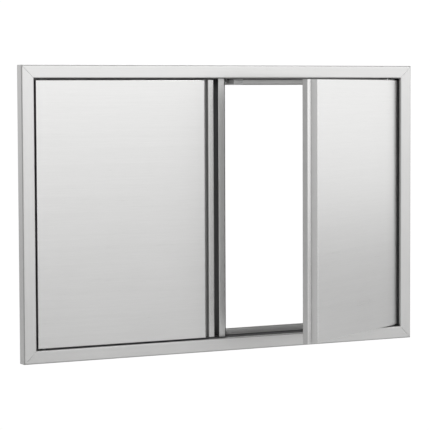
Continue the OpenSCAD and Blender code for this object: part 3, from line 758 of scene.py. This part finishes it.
def sheet_wall(piece, thickness):
    """Gives a surface the thickness of its sheet, inwards from the face that shows."""
    wall = piece.modifiers.new("sheet", "SOLIDIFY")
    wall.thickness = thickness
    wall.offset = -1
    wall.use_even_offset = True
    piece.modifiers.new("even_shading", "WEIGHTED_NORMAL").keep_sharp = True


skin_stations = [
    (SKIN_X, DOOR_Z, 1, -1), (PAN_X, DOOR_Z, 0, -1), (DOOR_X, DOOR_Z, -1, -1),
    (DOOR_X, -DOOR_Z, -1, 1), (PAN_X, -DOOR_Z, 0, 1), (SKIN_X, -DOOR_Z, 1, 1)]
skin_grid, skin_bend_share = tray([(*s, SHORT_FOLD, DOOR_BACK) for s in skin_stations], DOOR_FRONT, SKIN_BEND)
rows, columns = skin_grid.shape[:2]
skin_grid[:, [0, 5], 0] -= GROOVE_LEAN * (skin_grid[:, [0, 5], 1] - DOOR_FRONT)
# the fold's last row is left out along the pull's side and beside it at both ends
last_row = (rows - 2) * columns
skin_faces = [f for k, f in enumerate(grid_faces(rows, columns)) if k - last_row not in (0, 4, 5)]
skin_faces.append(list(range(columns))[::-1])
for side in ("left", "right"):
    faces = [f[::-1] for f in skin_faces] if side == "left" else skin_faces
    # the folds' share of bend lets the steel paint a highlight along the skin's edges
    skin = make_piece(side + "_front", hung(skin_grid, side), faces, np.repeat(skin_bend_share, columns),
                      bevel=0, closed=False)
    # points that only the left-out faces used
    lone = bmesh.new()
    lone.from_mesh(skin.data)
    bmesh.ops.delete(lone, geom=[v for v in lone.verts if not v.link_faces], context="VERTS")
    lone.to_mesh(skin.data)
    lone.free()
    sheet_wall(skin, SHEET)
    steel = door_steel(side + "_front_steel", side, tone=0.64, dullness=0.30, contrast=0.22, cloud=0.03)
    dress(skin, steel, side + "_door", [side + "_skin"])

# ---------------------------------------------------------------- finger pulls
# A separate folded strip down each door's free edge: a groove for the fingertips, a lip set 8 mm back
# to pull on, and a flange behind the door. Small plates close the ends of the lip's channel.

PULL_BEND = 0.8 * MM
HALF_SHEET = SHEET / 2
LIP_OUT, LIP_IN, GROOVE_FLOOR, LIP_FRONT = 22 * MM, 34 * MM, -7 * MM, -15 * MM
# the leg leans with the skin's wall, inside it
LEG_TOP, LEG_FOOT, PULL_END = 43.276 * MM, 39.265 * MM, 57.2 * MM
CAP_OUT, CAP_IN, CAP_FRONT, CAP_BACK = 23.5 * MM, 32.5 * MM, -13.5 * MM, -4.5 * MM
# painted shade inside the pull's groove and, fainter, on the lip's outer return facing the post
GROOVE_PAINTED_SHADE, RETURN_PAINTED_SHADE = 0.5, 0.14
# the left pull's tone is a shade darker than the right one's: painted shade for the shut door's pull,
# which stands in shade
LEFT_SHADED_TONE, RIGHT_TONE = 0.57, 0.66
PULL_ROWS = 7
pull_line = [
    (LEG_TOP, GROOVE_FLOOR - 8 * MM), (LEG_FOOT, GROOVE_FLOOR + HALF_SHEET),
    (LIP_IN - HALF_SHEET, GROOVE_FLOOR + HALF_SHEET), (LIP_IN - HALF_SHEET, LIP_FRONT + HALF_SHEET),
    (LIP_OUT + HALF_SHEET, LIP_FRONT + HALF_SHEET), (LIP_OUT + HALF_SHEET, DOOR_BACK - HALF_SHEET),
    (PULL_END, DOOR_BACK - HALF_SHEET)]
pull_loop, pull_bend = close_set(*folded(pull_line, SHEET, PULL_BEND), 1 * MM)
for side in ("left", "right"):
    # the leg inside the skin stays clear of the skin's top and bottom folds
    inside = (pull_loop[:, 0] > LIP_IN + 2 * MM) & (pull_loop[:, 1] < GROOVE_FLOOR - HAIR)
    top = np.where(inside, DOOR_Z - SHEET - 0.02 * MM, DOOR_Z)
    depth = np.clip((pull_loop[:, 1] - LIP_FRONT - 0.5 * MM) / (4 * MM), 0, 1)
    inside_groove = depth * (pull_loop[:, 0] > LIP_IN - 0.2 * MM)
    rows = np.linspace(-1, 1, PULL_ROWS)[:, None] * top
    x, y = (np.broadcast_to(pull_loop[:, k], rows.shape) for k in (0, 1))
    grid = np.stack([x, y, rows], -1)
    # painted shade in the groove and on the outer return; the bends also carry a painted highlight
    outer_return = (pull_loop[:, 0] < LIP_OUT + HAIR) * (pull_loop[:, 1] > LIP_FRONT + 0.5 * MM)
    pull_painted_shade = GROOVE_PAINTED_SHADE * inside_groove + RETURN_PAINTED_SHADE * outer_return
    pull = make_piece(side + "_handle", hung(grid, side), tube_faces(PULL_ROWS, len(pull_loop)),
                      np.tile(pull_bend, PULL_ROWS), np.tile(pull_painted_shade, PULL_ROWS), bevel=0)
    tone = LEFT_SHADED_TONE if side == "left" else RIGHT_TONE
    steel = door_steel(side + "_handle_steel", side, along="Z", tone=tone, dullness=0.28)
    dress(pull, steel, side + "_door", [side + "_pull"])
    ends = []
    for up in (-1, 1):
        rows, faces = slab(CAP_OUT, CAP_IN, CAP_FRONT, CAP_BACK, -HALF_SHEET, HALF_SHEET, 1 * MM)
        height = up * (DOOR_Z - HALF_SHEET - rows[..., 1])
        ends.append(np.stack([rows[..., 0], rows[..., 2], height], -1))
    points, faces = several(ends, faces)
    caps = make_piece(side + "_handle_caps", hung(points, side), faces, bevel=0)
    dress(caps, steel, side + "_door", [side + "_pull_caps"])

# ---------------------------------------------------------------- back pans
# A thinner tray with a rolled-mill skin closes each door's back. Its edges are folded forwards inside
# the skin's, and three blind rivets hold it to the rib behind.

PAN_FOLD, PAN_BEND, PAN_SHEET = 8 * MM, 1.2 * MM, 0.9 * MM
PAN_INSET = 1.5 * MM
pan_stations = [
    (PAN_X, DOOR_Z - PAN_INSET, 1, -1), (DOOR_X - PAN_INSET, DOOR_Z - PAN_INSET, -1, -1),
    (DOOR_X - PAN_INSET, -DOOR_Z + PAN_INSET, -1, 1), (PAN_X, -DOOR_Z + PAN_INSET, 1, 1)]
# the folds' share of bend lets the steel paint a highlight along the pan's edges
pan_grid, pan_bend_share = tray([(*s, PAN_FOLD / 2, PAN_FOLD) for s in pan_stations], 0, PAN_BEND)
pan_grid[..., 1] = DOOR_BACK - pan_grid[..., 1]
rows, columns = pan_grid.shape[:2]
pan_faces = grid_faces(rows, columns)
pan_faces.append(list(range(columns))[::-1])
for side in ("left", "right"):
    faces = [f[::-1] for f in pan_faces] if side == "right" else pan_faces
    pan = make_piece(side + "_back", hung(pan_grid, side), faces, np.repeat(pan_bend_share, columns),
                     bevel=0, closed=False)
    sheet_wall(pan, PAN_SHEET)
    steel = door_steel(side + "_back_steel", side, along="Z", tone=0.62, dullness=0.34,
                       contrast=0.05, cloud=0.08)
    dress(pan, steel, side + "_door", [side + "_back_pan"])

# ---------------------------------------------------------------- ribs, blocks and pins
# Inside each door a hat-section rib is bonded to the skin, and a block behind each end of the hinge
# edge holds a pivot pin. Only the pins' shanks show, in the gap between door and jamb.

for side in ("left", "right"):
    for part in ("rib", "block_top", "block_bottom"):
        dress(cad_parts[f"{side}_{part}"], mill_steel)

bright_pin = skinned("bright_pin", mill_skin, (0.72, 0.72, 0.71), 0.08, 1.0, bump=0.05)
PIN_LOW, PIN_TOP, PIN_R = 224.3 * MM, 248.2 * MM, 2.5 * MM
pin_profile = [
    (0, PIN_LOW), (PIN_R - 0.3 * MM, PIN_LOW), (PIN_R, PIN_LOW + 0.3 * MM),
    (PIN_R, PIN_TOP - 0.6 * MM), (PIN_R - 0.2 * MM, PIN_TOP - 0.25 * MM), (PIN_R - 0.6 * MM, PIN_TOP),
    (0, PIN_TOP)]
for side in ("left", "right"):
    for end, up in (("top", 1), ("bottom", -1)):
        grid = turned(pin_profile) * (1, 1, up) + (PIVOT_X, PIVOT_Y, 0)
        pin = make_piece(f"{side}_pivot_{end}", hung(grid, side), grid_faces(len(pin_profile), 48),
                         bevel=0)
        dress(pin, bright_pin, side + "_door", [f"{side}_pin_{end}"])

# ---------------------------------------------------------------- rivets, strikes and buffers
# Three rivets run down the middle of each back. A strike plate sits at the top of the pull's flange,
# and a rubber buffer near the bottom keeps the door off the stop flange.

PAN_RIVET_X = (PAN_X + DOOR_X) / 2
RIVET_ROWS = (-185.5 * MM, 0, 185.5 * MM)
STRIKE_OUT, STRIKE_IN, STRIKE_LOW, STRIKE_TOP = 28 * MM, 46 * MM, 231.3 * MM, 238.5 * MM
BUFFER_X, BUFFER_Z, BUFFER_R, WAIST_R, STEM_R = 76 * MM, -234.5 * MM, 4 * MM, 3.6 * MM, 1.6 * MM
pan_rivet = turned(rivet_profile(1.8 * MM), 32)
for side in ("left", "right"):
    places = [stood(pan_rivet, PAN_RIVET_X, DOOR_BACK, z, facing=-1) for z in RIVET_ROWS]
    points, faces = several(places, grid_faces(*pan_rivet.shape[:2]))
    piece = make_piece(side + "_back_rivets", hung(points, side), faces, bevel=0)
    dress(piece, rivet_steel, side + "_door", [side + "_rivets"])

    rows, faces = slab(STRIKE_OUT, STRIKE_IN, STRIKE_LOW, STRIKE_TOP, -1 * MM, 0, 1.2 * MM)
    rows = np.stack([rows[..., 0], DOOR_BACK - rows[..., 1], rows[..., 2]], -1)
    piece = make_piece(side + "_strike_plate", hung(rows, side), faces, bevel=0)
    dress(piece, bright_pin, side + "_door", [side + "_strike"])

    length = FLANGE_FRONT - 0.4 * MM - DOOR_BACK
    a = np.linspace(0, np.pi / 2, 7)
    tip = np.column_stack([(3 + np.cos(a)) * MM, length - 2.2 * MM + 2.2 * MM * np.sin(a)])
    stem = [(0, -2.7 * MM), (STEM_R, -2.7 * MM), (STEM_R, 0), (BUFFER_R - 0.3 * MM, 0)]
    barrel = [
        (BUFFER_R, 0.3 * MM), (BUFFER_R, 2.2 * MM), (WAIST_R, 3.0 * MM),
        (WAIST_R, length - 6 * MM), (BUFFER_R, length - 4.5 * MM)]
    profile = np.concatenate([stem, barrel, tip, [(0, length)]])
    grid = stood(turned(profile), BUFFER_X, DOOR_BACK, BUFFER_Z)
    piece = make_piece(side + "_stop_buffer", hung(grid, side), grid_faces(len(profile), 48), bevel=0)
    dress(piece, black_rubber, side + "_door", [side + "_buffer"])

# ---------------------------------------------------------------- studio
# A pale floor well under the object, three soft boxes, and a surround. Seen directly, both floor and
# surround are white; in the steel the surround is dimmer overhead, low down and to the left.

FLOOR_Z, WHITE = -0.42, 1.02
floor_mesh = bpy.data.meshes.new("floor")
span = np.linspace(-6, 6, 13)
fx, fy = np.meshgrid(span, span)
i = (np.arange(12)[:, None] * 13 + np.arange(12)).ravel()
corners = np.column_stack([fx.ravel(), fy.ravel(), np.full(fx.size, FLOOR_Z)])
tiles = np.column_stack([i, i + 1, i + 14, i + 13])
floor_mesh.from_pydata(corners.tolist(), [], tiles.tolist())
floor = bpy.data.objects.new("floor", floor_mesh)
bpy.context.scene.collection.objects.link(floor)
pale = bpy.data.materials.new("pale_floor")
pale.use_nodes = True
pn, plink = pale.node_tree.nodes, pale.node_tree.links.new
paint = pn["Principled BSDF"]
paint.inputs["Base Color"].default_value = (0.84, 0.84, 0.84, 1)
paint.inputs["Roughness"].default_value = 0.9
glow = pn.new("ShaderNodeEmission")
glow.inputs["Strength"].default_value = WHITE
seen = pn.new("ShaderNodeLightPath")
both = pn.new("ShaderNodeMixShader")
plink(seen.outputs["Is Camera Ray"], both.inputs["Fac"])
plink(paint.outputs["BSDF"], both.inputs[1])
plink(glow.outputs["Emission"], both.inputs[2])
plink(both.outputs["Shader"], pn["Material Output"].inputs["Surface"])
floor_mesh.materials.append(pale)

world = bpy.data.worlds.new("studio")
bpy.context.scene.world = world
world.use_nodes = True
wn, wlink = world.node_tree.nodes, world.node_tree.links.new
backdrop = wn["Background"]
way = wn.new("ShaderNodeTexCoord")


def glow_lobe(direction, width, strength):
    """Brightness that peaks in one direction: the strength times (the cosine from it, clipped) to a
    power that makes the lobe half as bright at the given angle. A negative strength dims it there."""
    d = np.asarray(direction, float)
    d /= np.linalg.norm(d)
    power = np.log(0.5) / np.log(np.cos(np.radians(width)))
    dot = wn.new("ShaderNodeVectorMath")
    dot.operation = "DOT_PRODUCT"
    dot.inputs[1].default_value = d
    wlink(way.outputs["Generated"], dot.inputs[0])
    above = reckon(world.node_tree, "MAXIMUM", dot.outputs["Value"], 0)
    curve = reckon(world.node_tree, "POWER", above, float(power))
    return reckon(world.node_tree, "MULTIPLY", curve, strength)


def glow_by_height(low, high, at_low, at_high):
    """Brightness by how far up a ray points: one value below the first height, another above the
    second, and a smooth step, 3 t squared less 2 t cubed, between them."""
    ramp = wn.new("ShaderNodeMapRange")
    ramp.interpolation_type = "SMOOTHSTEP"
    for name, value in (("From Min", low), ("From Max", high), ("To Min", at_low), ("To Max", at_high)):
        ramp.inputs[name].default_value = value
    wlink(level.outputs["Z"], ramp.inputs["Value"])
    return ramp.outputs[0]


level = wn.new("ShaderNodeSeparateXYZ")
wlink(way.outputs["Generated"], level.inputs[0])
rise, overhead = glow_by_height(-0.20, 0.20, 0.50, 0.77), glow_by_height(0.45, 0.80, 0.0, -0.55)
total = reckon(world.node_tree, "ADD", rise, overhead)
for direction, width, strength in (
        ((0.30, -0.95, 0.02), 30, 0.90), ((1.0, -0.10, -0.04), 26, 0.88),
        ((-0.455, 0.889, -0.10), 25, 0.24), ((-1.0, -0.02, 0.0), 22, -0.24)):
    total = reckon(world.node_tree, "ADD", total, glow_lobe(direction, width, strength))
wlink(total, backdrop.inputs["Strength"])
white = wn.new("ShaderNodeBackground")
white.inputs["Color"].default_value = (1, 1, 1, 1)
white.inputs["Strength"].default_value = WHITE
seen_sky = wn.new("ShaderNodeLightPath")
blend = wn.new("ShaderNodeMixShader")
backdrop.inputs["Color"].default_value = (1, 1, 1, 1)
wlink(seen_sky.outputs["Is Camera Ray"], blend.inputs["Fac"])
wlink(backdrop.outputs["Background"], blend.inputs[1])
wlink(white.outputs["Background"], blend.inputs[2])
wlink(blend.outputs["Shader"], wn["World Output"].inputs["Surface"])


def soft_box(name, at, aim, size, power):
    """A square area light at a point, turned to face another."""
    lamp = bpy.data.lights.new(name, "AREA")
    lamp.size = size
    lamp.energy = power
    light = bpy.data.objects.new(name, lamp)
    light.location = at
    light.rotation_euler = (Vector(aim) - Vector(at)).to_track_quat("-Z", "Y").to_euler()
    bpy.context.scene.collection.objects.link(light)


soft_box("key_box", (1.6, -2.4, 2.0), (0, 0, 0.1), 1.6, 24)
soft_box("side_box", (-2.6, -1.6, 1.4), (0, 0, 0), 1.2, 9)
soft_box("back_box", (0.8, 2.6, 1.6), (0, 0, 0), 1.4, 26)

YAW, PITCH, ROLL = np.radians((-27.069, 3.564, -0.248))
DISTANCE, AIM, LENS = 3.623, Vector((-0.01285, 0, -0.01265)), 161.89
back = Vector((np.sin(YAW) * np.cos(PITCH), -np.cos(YAW) * np.cos(PITCH), np.sin(PITCH)))
level_right = (-back).cross(Vector((0, 0, 1))).normalized()
level_up = level_right.cross(-back)
right = np.cos(ROLL) * level_right + np.sin(ROLL) * level_up
up = -np.sin(ROLL) * level_right + np.cos(ROLL) * level_up
camera_data = bpy.data.cameras.new("camera")
camera_data.lens = LENS
camera_data.sensor_width = 36
camera_data.clip_start, camera_data.clip_end = 0.05, 60
camera = bpy.data.objects.new("camera", camera_data)
turned_to = Matrix((right, up, back)).transposed().to_4x4()
camera.matrix_world = Matrix.Translation(AIM + back * DISTANCE) @ turned_to
bpy.context.scene.collection.objects.link(camera)
bpy.context.scene.camera = camera
bpy.context.scene.view_settings.view_transform = "Standard"
